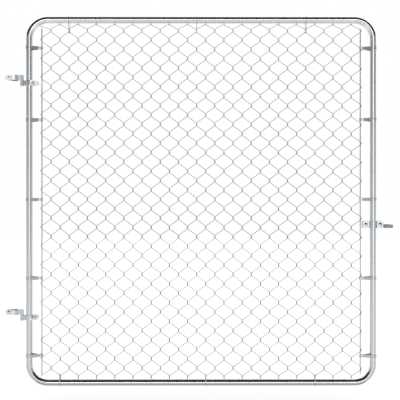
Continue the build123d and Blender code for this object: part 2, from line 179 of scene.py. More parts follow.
def piece(name, geo, body, material, nodes, sharp=None):
    """Makes the object, puts it on its body, and hides the CAD nodes it stands for."""
    mesh = bpy.data.meshes.new(name)
    v = np.concatenate(geo.v) * 0.001
    mesh.from_pydata([tuple(p) for p in v.tolist()], [], geo.f)
    mesh.polygons.foreach_set("use_smooth", [True] * len(mesh.polygons))
    mesh.update()
    if geo.n and sharp is None:
        n = np.concatenate(geo.n)
        n /= np.maximum(np.linalg.norm(n, axis=1), 1e-12)[:, None]
        mesh.normals_split_custom_set_from_vertices([tuple(p) for p in n.tolist()])
    elif sharp is not None:
        mesh.set_sharp_from_angle(angle=math.radians(sharp))
    mesh.materials.append(material)
    obj = bpy.data.objects.new(name, mesh)
    bpy.context.scene.collection.objects.link(obj)
    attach(obj, body)
    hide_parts(*nodes)
    return obj


def unit(v):
    v = np.asarray(v, float)
    return v / max(np.linalg.norm(v), 1e-12)


def rounded(points, reach, n):
    """A line through points with its corners rounded, reach mm back from each."""
    pts = [np.asarray(p, float) for p in points]
    reach = [reach] * len(pts) if np.isscalar(reach) else reach
    out = [pts[0]]
    for i in range(1, len(pts) - 1):
        a, b, c = pts[i - 1], pts[i], pts[i + 1]
        la, lc = np.linalg.norm(a - b), np.linalg.norm(c - b)
        u, w = (a - b) / la, (c - b) / lc
        ang = math.acos(max(-1.0, min(1.0, float(u @ w))))
        if math.pi - ang < 0.02:
            out.append(b)
            continue
        t = min(reach[i], 0.49 * la, 0.49 * lc)
        mid = unit(u + w)
        centre = b + mid * (t / math.cos(ang / 2))
        p0, p1 = b + u * t - centre, b + w * t - centre
        turn = math.pi - ang
        for k in range(n):
            f = k / (n - 1)
            s = (p0 * math.sin((1 - f) * turn) + p1 * math.sin(f * turn)) / math.sin(turn)
            out.append(centre + s)
    out.append(pts[-1])
    return np.array(out)


def round_bar(points, r, sides, nose=0.35, start=None):
    """A round bar along a smooth line, with slightly rounded ends."""
    p = np.asarray(points, float)
    d = np.diff(p, axis=0)
    d /= np.linalg.norm(d, axis=1)[:, None]
    t = np.vstack([d[:1], d[:-1] + d[1:], d[-1:]])
    t /= np.linalg.norm(t, axis=1)[:, None]
    x = np.cross(t[0], [0, 0, 1] if start is None else start)
    if np.linalg.norm(x) < 1e-3:
        x = np.cross(t[0], [0, 1, 0])
    x = unit(x)
    axes = []
    for i in range(len(p)):
        x = unit(x - t[i] * (x @ t[i]))
        axes.append((x, np.cross(t[i], x)))
    ang = np.arange(sides) * 2 * math.pi / sides
    ca, sa = np.cos(ang)[:, None], np.sin(ang)[:, None]
    verts, norms = [], []

    def ring(c, k, radius, lean):
        a, b = axes[k]
        radial = ca * a + sa * b
        verts.append(c + radial * radius)
        norms.append(radial * math.cos(lean) + t[k] * math.sin(lean))

    nose = min(nose, r * 0.8)
    steps = (-90, -45) if nose > 0 else ()
    for deg in steps:
        e = math.radians(deg)
        ring(p[0] + t[0] * nose * (1 + math.sin(e)), 0, r - nose + nose * math.cos(e), e)
    for k in range(len(p)):
        c = p[k]
        if nose > 0 and k == 0:
            c = p[0] + t[0] * nose
        if nose > 0 and k == len(p) - 1:
            c = p[-1] - t[-1] * nose
        ring(c, k, r, 0)
    for deg in [-s for s in reversed(steps)]:
        e = math.radians(deg)
        ring(p[-1] - t[-1] * nose * (1 - math.sin(e)), len(p) - 1, r - nose + nose * math.cos(e), e)
    rings = len(verts)
    faces = []
    for k in range(rings - 1):
        for j in range(sides):
            j2 = (j + 1) % sides
            faces.append((k * sides + j, k * sides + j2, (k + 1) * sides + j2, (k + 1) * sides + j))
    v, n = np.concatenate(verts), np.concatenate(norms)
    faces.append(tuple(reversed(range(sides))))
    faces.append(tuple(range((rings - 1) * sides, rings * sides)))
    g = Geo()
    g.add(v, faces, n)
    return g


class Flat:
    """A line in the XY plane of straight runs and arcs that meet smoothly."""

    def __init__(self):
        self.p, self.t = [], []

    def _put(self, x, y, tx, ty):
        if self.p and math.hypot(x - self.p[-1][0], y - self.p[-1][1]) < 1e-4:
            return
        self.p.append((x, y))
        self.t.append((tx, ty))

    def run(self, x0, y0, x1, y1, n=1):
        d = math.hypot(x1 - x0, y1 - y0)
        if d < 1e-6:
            return self
        for k in range(n + 1):
            f = k / n
            self._put(x0 + (x1 - x0) * f, y0 + (y1 - y0) * f, (x1 - x0) / d, (y1 - y0) / d)
        return self

    def arc(self, cx, cy, r, a0, a1, step=6.0):
        n = max(2, int(math.ceil(abs(a1 - a0) / step)))
        s = 1 if a1 > a0 else -1
        for k in range(n + 1):
            a = math.radians(a0 + (a1 - a0) * k / n)
            self._put(cx + r * math.cos(a), cy + r * math.sin(a), -s * math.sin(a), s * math.cos(a))
        return self

    def polyline(self, points, radii, step=8.0):
        """Straight runs with round corners of the given radii."""
        pts = [np.asarray(p, float) for p in points]
        last = pts[0]
        for i in range(1, len(pts) - 1):
            a, b, c = pts[i - 1], pts[i], pts[i + 1]
            u, w = unit(a - b), unit(c - b)
            ang = math.acos(max(-1.0, min(1.0, float(u @ w))))
            if math.pi - ang < 1e-3:
                continue
            r = radii[i - 1]
            t = r / math.tan(ang / 2)
            centre = b + unit(u + w) * (r / math.sin(ang / 2))
            p0, p1 = b + u * t, b + w * t
            self.run(*last, *p0)
            a0 = math.degrees(math.atan2(*(p0 - centre)[::-1]))
            a1 = math.degrees(math.atan2(*(p1 - centre)[::-1]))
            while a1 - a0 > 180:
                a1 -= 360
            while a1 - a0 < -180:
                a1 += 360
            self.arc(*centre, r, a0, a1, step)
            last = p1
        self.run(*last, *pts[-1])
        return self

    def done(self):
        p, t = np.array(self.p), np.array(self.t)
        s = np.concatenate([[0], np.cumsum(np.linalg.norm(np.diff(p, axis=0), axis=1))])
        return p, t, s


def strap(line, thick, half, rc, start, end, z=0.0, seg=3):
    """A bent flat strap on edge: its line lies in XY, its width runs up Z.
    start and end are the corner radii (top, bottom) of either end."""
    p, t, s = line.done()
    total = s[-1]

    def at(d):
        x = np.interp(d, s, p[:, 0])
        y = np.interp(d, s, p[:, 1])
        tx, ty = np.interp(d, s, t[:, 0]), np.interp(d, s, t[:, 1])
        k = math.hypot(tx, ty)
        return np.array([x, y]), np.array([tx, ty]) / k

    rows = []                          # (s, z, es, ez) top, and the same bottom
    corner = [0, 15, 30, 45, 60, 75, 90]
    for deg in corner:
        a = math.radians(deg)
        rows.append(tuple((r - r * math.cos(a), half - r + r * math.sin(a), -math.cos(a), math.sin(a))
                          for r in start))
    a0, a1 = max(start) + 0.05, total - max(end) - 0.05
    for d in s:
        if a0 < d < a1:
            rows.append(((d, half, 0.0, 1.0), (d, half, 0.0, 1.0)))
    for deg in reversed(corner):
        a = math.radians(deg)
        rows.append(tuple((total - r + r * math.cos(a), half - r + r * math.sin(a), math.cos(a), math.sin(a))
                          for r in end))
    verts, norms = [], []
    phis = [math.radians(90 * k / seg) for k in range(seg + 1)]
    flat = thick / 2 - rc
    for top, bottom in rows:
        for which, (d, h, es, ez) in ((1, top), (-1, bottom)):
            line_pts = []
            cs, ch = d - rc * es, h - rc * ez
            for side in (-1, 1):
                order = phis if side < 0 else list(reversed(phis))
                for phi in order:
                    nn, ne = math.cos(phi) * side, math.sin(phi)
                    ds, dz = cs + rc * ne * es, ch + rc * ne * ez
                    pos, tan = at(ds)
                    nor = np.array([-tan[1], tan[0]])
                    xy = pos + nor * (side * flat + rc * nn)
                    n2 = nor * nn + tan * (ne * es)
                    line_pts.append(((xy[0], xy[1], z + which * dz), (n2[0], n2[1], which * ne * ez)))
            if which < 0:
                line_pts.reverse()
            for q, n in line_pts:
                verts.append(q)
                norms.append(n)
    m = 2 * (seg + 1)                  # points along the top edge, then the bottom
    ring = 2 * m
    faces = []
    for k in range(len(rows) - 1):
        for j in range(ring):
            j2 = (j + 1) % ring
            faces.append((k * ring + j, (k + 1) * ring + j, (k + 1) * ring + j2, k * ring + j2))
    e = (len(rows) - 1) * ring
    for i in range(m - 1):
        faces.append((i, i + 1, ring - 2 - i, ring - 1 - i))
        faces.append((e + ring - 1 - i, e + ring - 2 - i, e + i + 1, e + i))
    g = Geo()
    g.add(verts, faces, norms)
    return g


def lathe(profile, sides=48, centre=(0, 0, 0)):
    """(r, z) turned about Z. The first and last r may be 0."""
    verts, faces, rings = [], [], []
    ang = np.arange(sides) * 2 * math.pi / sides
    for r, z in profile:
        if r < 1e-6:
            rings.append([len(verts)])
            verts.append((0, 0, z))
        else:
            rings.append(list(range(len(verts), len(verts) + sides)))
            verts.extend([(r * math.cos(a), r * math.sin(a), z) for a in ang])
    for a, b in zip(rings, rings[1:]):
        for j in range(sides):
            j2 = (j + 1) % sides
            if len(a) == 1 and len(b) == 1:
                continue
            if len(a) == 1:
                faces.append((a[0], b[j2], b[j]))
            elif len(b) == 1:
                faces.append((a[j], a[j2], b[0]))
            else:
                faces.append((a[j], a[j2], b[j2], b[j]))
    g = Geo()
    g.add(np.array(verts) + np.asarray(centre, float), faces)
    return g


def loft(rings, cap_start=True, cap_end=True):
    """Skins rings of equal length. The last joins nothing unless capped."""
    verts = np.concatenate([np.asarray(r, float) for r in rings])
    n = len(rings[0])
    faces = []
    for k in range(len(rings) - 1):
        for j in range(n):
            j2 = (j + 1) % n
            faces.append((k * n + j, k * n + j2, (k + 1) * n + j2, (k + 1) * n + j))
    if cap_start:
        faces.append(tuple(reversed(range(n))))
    if cap_end:
        faces.append(tuple(range((len(rings) - 1) * n, len(rings) * n)))
    g = Geo()
    g.add(verts, faces)
    return g


def plate(outline, hole, thick, rc, seg=3):
    """A flat plate with a hole, in XZ, thick along Y, with rounded edges."""
    out = np.asarray(outline, float)
    d = np.roll(out, -1, axis=0) - np.roll(out, 1, axis=0)
    d /= np.linalg.norm(d, axis=1)[:, None]
    nor = np.stack([d[:, 1], -d[:, 0]], axis=1)    # outward for a counter-clockwise line
    hol = np.asarray(hole, float)
    centre = hol.mean(axis=0)
    hn = centre - hol
    hn /= np.linalg.norm(hn, axis=1)[:, None]
    g = Geo()
    verts, norms, faces = [], [], []

    def loops(pts, ns, flip):
        ids = []
        for side in (-1, 1):
            order = range(seg + 1) if side < 0 else range(seg, -1, -1)
            for k in order:
                phi = math.radians(90 * k / seg)
                y = side * (thick / 2 - rc + rc * math.cos(phi))
                off = -rc + rc * math.sin(phi)
                start = len(verts)
                for q, n in zip(pts, ns):
                    verts.append((q[0] + n[0] * off, y, q[1] + n[1] * off))
                    norms.append((n[0] * math.sin(phi), side * math.cos(phi), n[1] * math.sin(phi)))
                ids.append(list(range(start, start + len(pts))))
        for a, b in zip(ids, ids[1:]):
            for j in range(len(pts)):
                j2 = (j + 1) % len(pts)
                f = (a[j], a[j2], b[j2], b[j])
                faces.append(f if not flip else tuple(reversed(f)))
        return ids[0], ids[-1]

    of, ob = loops(out, nor, True)
    hf, hb = loops(hol, hn, False)
    for ids_o, ids_h, front in ((of, hf, True), (ob, hb, False)):
        lines = [[(verts[i][0], verts[i][2], 0) for i in ids_o],
                 [(verts[i][0], verts[i][2], 0) for i in ids_h]]
        index = ids_o + ids_h
        for tri in tessellate_polygon(lines):
            a, b, c = (index[i] for i in tri)
            ax, az = verts[a][0], verts[a][2]
            bx, bz = verts[b][0], verts[b][2]
            cx, cz = verts[c][0], verts[c][2]
            area = (bx - ax) * (cz - az) - (cx - ax) * (bz - az)
            # counter-clockwise in (x, z) faces -Y
            if (area > 0) != front:
                b, c = c, b
            faces.append((a, b, c))
    g.add(verts, faces, norms)
    return g


# ---------------------------------------------------------------------------
# Materials: zinc, laid down by each piece's own making
# ---------------------------------------------------------------------------
class Tree:
    def __init__(self, tree):
        self.t = tree
        tree.nodes.clear()

    def node(self, kind, **inputs):
        n = self.t.nodes.new(kind)
        for k, v in inputs.items():
            self.set(n, k, v)
        return n

    def set(self, n, key, value):
        sock = n.inputs[key.replace("_", " ")] if isinstance(key, str) else n.inputs[key]
        if isinstance(value, bpy.types.NodeSocket):
            self.t.links.new(value, sock)
        else:
            sock.default_value = value

    def math(self, op, a, b=None, c=None, clamp=False):
        n = self.t.nodes.new("ShaderNodeMath")
        n.operation = op
        n.use_clamp = clamp
        for i, v in enumerate((a, b, c)):
            if v is not None:
                self.set(n, i, v)
        return n.outputs[0]

    def ramp(self, fac, stops, interpolation="LINEAR"):
        n = self.t.nodes.new("ShaderNodeValToRGB")
        n.color_ramp.interpolation = interpolation
        els = n.color_ramp.elements
        while len(els) < len(stops):
            els.new(0.5)
        for el, (pos, col) in zip(els, sorted(stops, key=lambda s: s[0])):
            el.position = pos
            el.color = (col, col, col, 1) if np.isscalar(col) else (*col, 1)
        self.set(n, 0, fac)
        return n.outputs[0]

    def mix(self, fac, a, b, mode="MIX"):
        n = self.t.nodes.new("ShaderNodeMix")
        n.data_type = "RGBA"
        n.blend_type = mode
        self.set(n, 0, fac)
        for i, v in ((6, a), (7, b)):
            self.set(n, i, (*v, 1) if isinstance(v, tuple) and len(v) == 3 else v)
        return n.outputs[2]


def zinc(name, base, rough, spread=0.06, grain=900.0, spangle=0.05, spangle_size=160.0,
         bump=0.02, drawn=None, rough_spread=0.06):
    """Zinc on steel. base is the mean tone, spread how far fine grain moves it,
    spangle the crystal flakes, drawn an axis along which the metal was drawn."""
    mat = bpy.data.materials.new(name)
    mat.use_nodes = True
    t = Tree(mat.node_tree)
    out = t.node("ShaderNodeOutputMaterial")
    bsdf = t.node("ShaderNodeBsdfPrincipled", Metallic=1.0, Roughness=rough)
    t.t.links.new(bsdf.outputs[0], out.inputs[0])
    coord = t.node("ShaderNodeTexCoord").outputs["Object"]
    place = coord
    if drawn is not None:
        m = t.node("ShaderNodeMapping")
        scale = [1.0, 1.0, 1.0]
        scale[drawn] = 0.06
        m.inputs["Scale"].default_value = scale
        t.set(m, "Vector", coord)
        place = m.outputs[0]
    flakes = t.node("ShaderNodeTexVoronoi", Vector=coord, Scale=spangle_size, Randomness=1.0)
    fine = t.node("ShaderNodeTexNoise", Vector=place, Scale=grain, Detail=3.0, Roughness=0.6)
    cloud = t.node("ShaderNodeTexNoise", Vector=coord, Scale=9.0, Detail=4.0, Roughness=0.55)
    flake = t.math("MULTIPLY", t.math("SUBTRACT", t.node("ShaderNodeSeparateColor", Color=flakes.outputs["Color"]).outputs[0], 0.5), 2 * spangle)
    speck = t.math("MULTIPLY", t.math("SUBTRACT", fine.outputs[0], 0.5), 2 * spread)
    drift = t.math("MULTIPLY", t.math("SUBTRACT", cloud.outputs[0], 0.5), 0.07)
    tone = t.math("ADD", t.math("ADD", flake, speck), t.math("ADD", drift, 1.0))
    grey = t.mix(1.0, tuple(base), t.node("ShaderNodeCombineColor", Red=tone, Green=tone, Blue=tone).outputs[0], "MULTIPLY")
    t.set(bsdf, "Base Color", grey)
    r = t.math("ADD", rough, t.math("MULTIPLY", t.math("SUBTRACT", cloud.outputs[0], 0.5), rough_spread))
    r = t.math("ADD", r, t.math("MULTIPLY", flake, 0.5), clamp=True)
    t.set(bsdf, "Roughness", r)
    if bump > 0:
        height = t.math("ADD", fine.outputs[0], t.math("MULTIPLY", flakes.outputs["Distance"], 0.4))
        b = t.node("ShaderNodeBump", Strength=bump, Distance=0.0004, Height=height)
        t.set(bsdf, "Normal", b.outputs[0])
    return mat


TUBE = zinc("galvanised_tube_finish", (0.770, 0.803, 0.835), 0.09, spread=0.02, grain=420, spangle=0.02,
            spangle_size=120, bump=0.006, rough_spread=0.03)
WIRE = zinc("galvanised_wire_finish", (0.50, 0.52, 0.545), 0.28, spread=0.09, grain=700, spangle=0.04,
            spangle_size=300, bump=0.05, rough_spread=0.12)
ROD = zinc("tension_rod_finish", (0.69, 0.705, 0.72), 0.25, spread=0.06, grain=500, spangle=0.05,
           spangle_size=200, bump=0.03, rough_spread=0.10)
STRAP = zinc("pressed_strap_finish", (0.77, 0.795, 0.82), 0.15, spread=0.05, grain=650, spangle=0.05,
             spangle_size=260, bump=0.03, rough_spread=0.08)
BAND = zinc("tension_band_finish", (0.64, 0.66, 0.68), 0.11, spread=0.05, grain=650, spangle=0.05,
            spangle_size=260, bump=0.015, rough_spread=0.05)
PIN = zinc("hinge_pin_finish", (0.72, 0.74, 0.765), 0.22, spread=0.06, grain=800, spangle=0.03,
           spangle_size=300, bump=0.03, rough_spread=0.08)
LATCH = zinc("latch_plate_finish", (0.71, 0.735, 0.76), 0.13, spread=0.05, grain=600, spangle=0.06,
             spangle_size=220, bump=0.02, rough_spread=0.08)
FORK = zinc("latch_fork_finish", (0.37, 0.38, 0.395), 0.26, spread=0.07, grain=600, spangle=0.07,
            spangle_size=220, bump=0.05, rough_spread=0.12)
NUT = zinc("zinc_nut_finish", (0.72, 0.74, 0.765), 0.26, spread=0.05, grain=1100, spangle=0.02,
           spangle_size=400, bump=0.02, rough_spread=0.08)
FASTENER = zinc("zinc_fastener_finish", (0.74, 0.765, 0.79), 0.15, spread=0.05, grain=1100, spangle=0.02,
                spangle_size=400, bump=0.01, rough_spread=0.06)


# ---------------------------------------------------------------------------
# Frame tubes
# ---------------------------------------------------------------------------
def u_tube(z_rail, z_end):
    """A hollow tube bent into a U, its ends at z_end."""
    up = 1 if z_rail > z_end else -1
    r = BEND_R
    stations = [((X_LEFT, z_end), (0, up)), ((X_LEFT, z_rail - up * r), (0, up))]
    for k in range(1, 29):
        a = math.radians(90 * k / 28)
        stations.append(((X_LEFT + r - r * math.cos(a), z_rail - up * r + up * r * math.sin(a)),
                         (math.sin(a), up * math.cos(a))))
    for k in range(0, 29):
        a = math.radians(90 * k / 28)
        stations.append(((X_RIGHT - r + r * math.sin(a), z_rail - up * r + up * r * math.cos(a)),
                         (math.cos(a), -up * math.sin(a))))
    stations.append(((X_RIGHT, z_end), (0, -up)))
    sides = 56
    ang = np.arange(sides) * 2 * math.pi / sides
    verts, norms = [], []

    def ring(i, radius, shift, lean, inward=1):
        (x, z), (tx, tz) = stations[i]
        c = np.array([x + tx * shift, 0, z + tz * shift])
        a, b = np.array([-tz, 0, tx]), np.array([0, 1, 0])
        tan = np.array([tx, 0, tz])
        for w in ang:
            rad = a * math.cos(w) + b * math.sin(w)
            verts.append(c + rad * radius)
            norms.append(rad * math.cos(lean) * inward + tan * math.sin(lean))

    last = len(stations) - 1
    e = 0.35
    inner = R_TUBE - TUBE_WALL
    ring(0, R_TUBE - e, 0.0, -math.pi / 2)
    ring(0, R_TUBE - e * 0.3, e * 0.3, -math.pi / 4)
    ring(0, R_TUBE, e, 0)
    for i in range(1, last):
        ring(i, R_TUBE, 0, 0)
    ring(last, R_TUBE, -e, 0)
    ring(last, R_TUBE - e * 0.3, -e * 0.3, math.pi / 4)
    ring(last, R_TUBE - e, 0.0, math.pi / 2)
    ring(last, inner + e, 0.0, math.pi / 2)
    ring(last, inner, -e, 0, -1)
    for i in range(last - 1, 0, -1):
        ring(i, inner, 0, 0, -1)
    ring(0, inner, e, 0, -1)
    ring(0, inner + e, 0.0, -math.pi / 2)
    rings = len(verts) // sides
    faces = []
    for k in range(rings):
        k2 = (k + 1) % rings
        for j in range(sides):
            j2 = (j + 1) % sides
            faces.append((k * sides + j, k2 * sides + j, k2 * sides + j2, k * sides + j2))
    g = Geo()
    g.add(verts, faces, norms)
    return g


piece("tube_upper", u_tube(Z_TOP, Z_MID), "gate_leaf", TUBE, ["frame_upper_u"])
piece("tube_lower", u_tube(Z_BOT, Z_MID), "gate_leaf", TUBE, ["frame_lower_u"])
NODES["frame_splice_sleeves"].data.materials.clear()
NODES["frame_splice_sleeves"].data.materials.append(TUBE)


# ---------------------------------------------------------------------------
# Chain-link fabric
# ---------------------------------------------------------------------------
def odd_z(i):
    return Z0 + ROW_TOP - i * ROW_PITCH


def even_z(j):
    return odd_z(j) - ROW_PITCH / 2


def col_x(c):
    return BAR_L_X + c * COL_PITCH


def wire(k):
    t = WEAVE_Y
    left = col_x(k) - (END_X if k == 0 else KNOT_X)
    right = col_x(k + 1) + (END_X if k + 1 == COLS - 1 else KNOT_X)
    zb = Z0 + (CORNER_BOT if k == 0 else SELVAGE_BOT)
    zt = Z0 + (CORNER_TOP if k == 0 else SELVAGE_TOP)
    hb = CORNER_H if k == 0 else SELVAGE_H
    pts, reach = [], []

    def put(x, y, z, r=6.6):
        pts.append((x, y, z))
        reach.append(r)

    def bend(x, y, z, h):
        put(x, y, z - h)
        put(x, -y, z + h)

    if k % 2 == 0:
        bend(left, t, zb, hb)
        for i in reversed(range(ROWS)):
            bend(right, -t, odd_z(i), KNOT_H)
            if i > 0:
                bend(left, t, even_z(i - 1), KNOT_H)
        x, y = left, t
    else:
        bend(right, -t, zb, SELVAGE_H)
        for i in reversed(range(ROWS)):
            bend(left, t, odd_z(i), KNOT_H)
            if i > 0:
                bend(right, -t, even_z(i - 1), KNOT_H)
        x, y = right, -t
    # the knuckle: over the top and a little way down the other side
    put(x, y, zt - 2.0, 3.2)
    put(x, -y * 0.62, zt - 1.15, 2.6)
    put(x, -y * 0.78, zt - 7.2, 2.0)
    return pts, reach


def wire_bar(k):
    pts, reach = wire(k)
    return round_bar(rounded(pts, reach, 5), WIRE_D / 2, 10, nose=0.4)


first, even, odd, last = wire_bar(0), wire_bar(2), wire_bar(1), wire_bar(COLS - 2)
even_set, odd_set = Geo(), Geo()
for k in range(COLS - 1):
    into = even_set if k % 2 == 0 else odd_set
    if k == 0:
        into.join(first)
    elif k == COLS - 2:
        into.join(last)
    elif k % 2 == 0:
        into.join(even.copy(((k - 2) * COL_PITCH, 0, 0)))
    else:
        into.join(odd.copy(((k - 1) * COL_PITCH, 0, 0)))
piece("fabric_even_wires", even_set, "gate_leaf", WIRE, ["chain_link_wires_even"])
piece("fabric_odd_wires", odd_set, "gate_leaf", WIRE, ["chain_link_wires_odd"])

# ---------------------------------------------------------------------------
# Tension bars
# ---------------------------------------------------------------------------
for name, x, node in (("rod_hinge_side", BAR_L_X, "tension_bar_hinge_side"),
                      ("rod_latch_side", BAR_R_X, "tension_bar_latch_side")):
    g = round_bar([(x, 0, BAR_Z[0]), (x, 0, (BAR_Z[0] + BAR_Z[1]) / 2), (x, 0, BAR_Z[1])],
                  BAR_D / 2, 32, nose=0.6, start=(1, 0, 0))
    piece(name, g, "gate_leaf", ROD, [node])


# ---------------------------------------------------------------------------
# Tension bands and their rivets. The stile's axis is at the origin.
# ---------------------------------------------------------------------------
def band(wide):
    rm = R_TUBE + CLAMP_CLEAR + BAND_T / 2
    layer = BAND_T / 2 + 0.06
    px, py = BAND_NECK, layer
    d = math.hypot(px, py)
    phi = math.degrees(math.atan2(py, px))
    beta = math.degrees(math.acos(rm / d))
    wrap = phi + beta                  # angle of the tangent point, back side
    wx, wy = rm * math.cos(math.radians(wrap)), rm * math.sin(math.radians(wrap))
    line = Flat()
    if not wide:
        line.polyline([(BAR_OFF - 5.8, layer), (BAND_NECK, layer), (wx, wy)], [6.0])
        line.arc(0, 0, rm, wrap, 360 - wrap)
        rn = 6.0
        # neck to the eye round the bar
        eye = BAR_D / 2 + 0.15 + BAND_T / 2
        fx, fy, fr = BAR_OFF - 5.82, -layer - 2.5, 2.5
        line.polyline([(wx, -wy), (BAND_NECK, -layer), (fx, -layer)], [rn])
        a = math.degrees(math.atan2(-fy, BAR_OFF - fx))
        line.arc(fx, fy, fr, 90, a, 8)
        line.arc(BAR_OFF, 0, eye, 180 + a, 360 + 140, 6)
        return strap(line, BAND_T, BAND_HALF, 0.35, (1.2, 1.2), (1.2, 1.2))
    reach = WEAVE_Y + WIRE_D / 2 + 0.45 + BAND_T / 2
    xs = BAR_OFF - END_X - WIRE_D / 2 - 0.6
    xe = BAR_OFF + BAR_D / 2 + 0.15 + BAND_T / 2
    line.polyline([(BAR_OFF + 2.0, reach), (xs - 0.5, reach), (xs - 3.2, layer), (BAND_NECK, layer), (wx, wy)],
                  [1.6, 1.6, 6.0])
    line.arc(0, 0, rm, wrap, 360 - wrap)
    line.polyline([(wx, -wy), (BAND_NECK, -layer), (xs - 3.2, -layer), (xs - 0.5, -reach), (xe - 2.2, -reach),
                   (xe, -reach + 2.6), (xe, 1.4)], [6.0, 1.6, 1.6, 1.6, 1.6])
    return strap(line, BAND_T, BAND_HALF, 0.35, (1.2, 1.2), (0.9, 0.9))


RIVET_HALF = BAND_T + 0.06 + 0.02
rivet_r = (2.8 ** 2 + 1.1 ** 2) / (2 * 1.1)
cap = []
for k in range(7):
    a = math.asin(2.8 / rivet_r) * k / 6
    cap.append((rivet_r * math.sin(a), RIVET_HALF + 1.1 - rivet_r * (1 - math.cos(a))))
rivet_line = cap + [(2.62, RIVET_HALF), (1.6, RIVET_HALF), (1.6, -RIVET_HALF), (2.62, -RIVET_HALF)]
rivet_line += [(r, -z) for r, z in reversed(cap)]
rivet_one = lathe(list(reversed(rivet_line)), 28).copy(turn=Z_TO_FRONT)

tight = band(False)
wide = {1: band(True)}
wide[-1] = wide[1].copy(mirror=1)
hinge_bands, latch_bands, rivets = Geo(), Geo(), Geo()
for n, z in enumerate(BANDS_HINGE):
    g = wide[WIDE_HINGE[n]] if n in WIDE_HINGE else tight
    hinge_bands.join(g.copy((X_LEFT, 0, Z0 + z)))
    rivets.join(rivet_one.copy((X_LEFT + RIVET_X, 0, Z0 + z)))
for n, z in enumerate(BANDS_LATCH):
    g = wide[WIDE_LATCH[n]] if n in WIDE_LATCH else tight
    latch_bands.join(g.copy(mirror=0).copy((X_RIGHT, 0, Z0 + z)))
    rivets.join(rivet_one.copy((X_RIGHT - RIVET_X, 0, Z0 + z)))
piece("bands_hinge_side", hinge_bands, "gate_leaf", BAND, ["tension_bands_hinge_side"])
piece("bands_latch_side", latch_bands, "gate_leaf", BAND, ["tension_bands_latch_side"])
piece("band_rivets", rivets, "gate_leaf", FASTENER, ["tension_band_rivets"], sharp=40)


# ---------------------------------------------------------------------------
# Wire ties
# ---------------------------------------------------------------------------
def tie(x, z_rail, z_hook):
    up = 1 if z_rail > z_hook else -1
    rt = R_TUBE + 0.25 + TIE_D / 2
    y_leg = WEAVE_Y + WIRE_D / 2 + TIE_D / 2 + 0.35
    dy, dz = y_leg, abs(z_rail - z_hook)
    d = math.hypot(dy, dz)
    phi = math.degrees(math.atan2(-dz, dy))
    beta = math.degrees(math.acos(rt / d))
    a = phi + beta
    line = Flat()
    ty, tz = rt * math.cos(math.radians(a)), rt * math.sin(math.radians(a))
    line.polyline([(2.2, -dz), (y_leg, -dz), (ty, tz)], [2.6], 10)
    line.arc(0, 0, rt, a, 180 - a, 7)
    line.polyline([(-ty, tz), (-y_leg, -dz), (-2.2, -dz)], [2.6], 10)
    p, _, _ = line.done()
    pts = [(x, y, z_rail + up * z) for y, z in p]
    return round_bar(pts, TIE_D / 2, 16, nose=0.5)


hook_drop = KNOT_H + WIRE_D / 2 + TIE_D / 2 + 3.6
hook_rise = SELVAGE_H + WIRE_D / 2 + TIE_D / 2 + 3.6
top_ties, bottom_ties = Geo(), Geo()
for c in TOP_TIE_COLS:
    top_ties.join(tie(col_x(c), Z_TOP, odd_z(0) - hook_drop))
for c in BOT_TIE_COLS:
    bottom_ties.join(tie(col_x(c), Z_BOT, Z0 + SELVAGE_BOT + hook_rise))
piece("ties_top", top_ties, "gate_leaf", WIRE, ["top_rail_ties"])
piece("ties_bottom", bottom_ties, "gate_leaf", WIRE, ["bottom_rail_ties"])


# ---------------------------------------------------------------------------
# Fasteners. The head's seat is at z = 0, the head goes up, the shank down.
# ---------------------------------------------------------------------------
def circle(r, z, n):
    return [(r * math.cos(2 * math.pi * k / n), r * math.sin(2 * math.pi * k / n), z) for k in range(n)]


def squared(half, corner, z, n):
    """A square with round corners, as n points at even angles."""
    pts = []
    for k in range(n):
        a = 2 * math.pi * k / n
        c, s = math.cos(a), math.sin(a)
        lo_r, hi_r = 0.0, half * 2
        for _ in range(24):
            m = (lo_r + hi_r) / 2
            x, y = abs(c * m), abs(s * m)
            qx, qy = max(x - half + corner, 0), max(y - half + corner, 0)
            inside = x <= half and y <= half and math.hypot(qx, qy) <= corner
            lo_r, hi_r = (m, hi_r) if inside else (lo_r, m)
        pts.append((c * lo_r, s * lo_r, z))
    return pts


def carriage_bolt(length, neck):
    n = 48
    ball = (DOME_D ** 2 / 4 + DOME_H ** 2) / (2 * DOME_H)
    top = math.asin((DOME_D / 2 - 0.35) / ball)
    rings = []
    for k in range(1, 13):
        a = top * k / 12
        rings.append(circle(ball * math.sin(a), DOME_H - ball * (1 - math.cos(a)), n))
    rings.append(circle(DOME_D / 2 - 0.05, 0.62, n))
    rings.append(circle(DOME_D / 2, 0.38, n))
    rings.append(circle(DOME_D / 2 - 0.08, 0.12, n))
    rings.append(circle(DOME_D / 2 - 0.3, 0.0, n))
    rings.append(squared(BOLT_D / 2, 0.7, 0.0, n))
    rings.append(squared(BOLT_D / 2, 0.7, -neck + 0.2, n))
    rings.append(circle(BOLT_D / 2 - 0.1, -neck, n))
    step = THREAD / 6
    z0, z1 = -neck - 0.3, -length + 0.8
    count = int((z0 - z1) / step)
    for i in range(count + 1):
        z = z0 + (z1 - z0) * i / count
        fade = min(1.0, (z0 - z) / 1.6)
        ring = []
        for k in range(n):
            f = (z / THREAD - k / n) % 1.0
            cut = 0.62 * fade * (1 - abs(2 * f - 1)) ** 0.85
            r = BOLT_D / 2 - cut
            a = 2 * math.pi * k / n
            ring.append((r * math.cos(a), r * math.sin(a), z))
        rings.append(ring)
    rings.append(circle(BOLT_D / 2 - 0.8, -length + 0.06, n))
    rings.append(circle(BOLT_D / 2 - 1.1, -length, n))
    rings.reverse()
    g = loft(rings, True, False)
    g.add([(0, 0, DOME_H)], [])
    base, tip = (len(rings) - 1) * n, g.count - 1
    g.f.extend([(base + j, base + (j + 1) % n, tip) for j in range(n)])
    return g


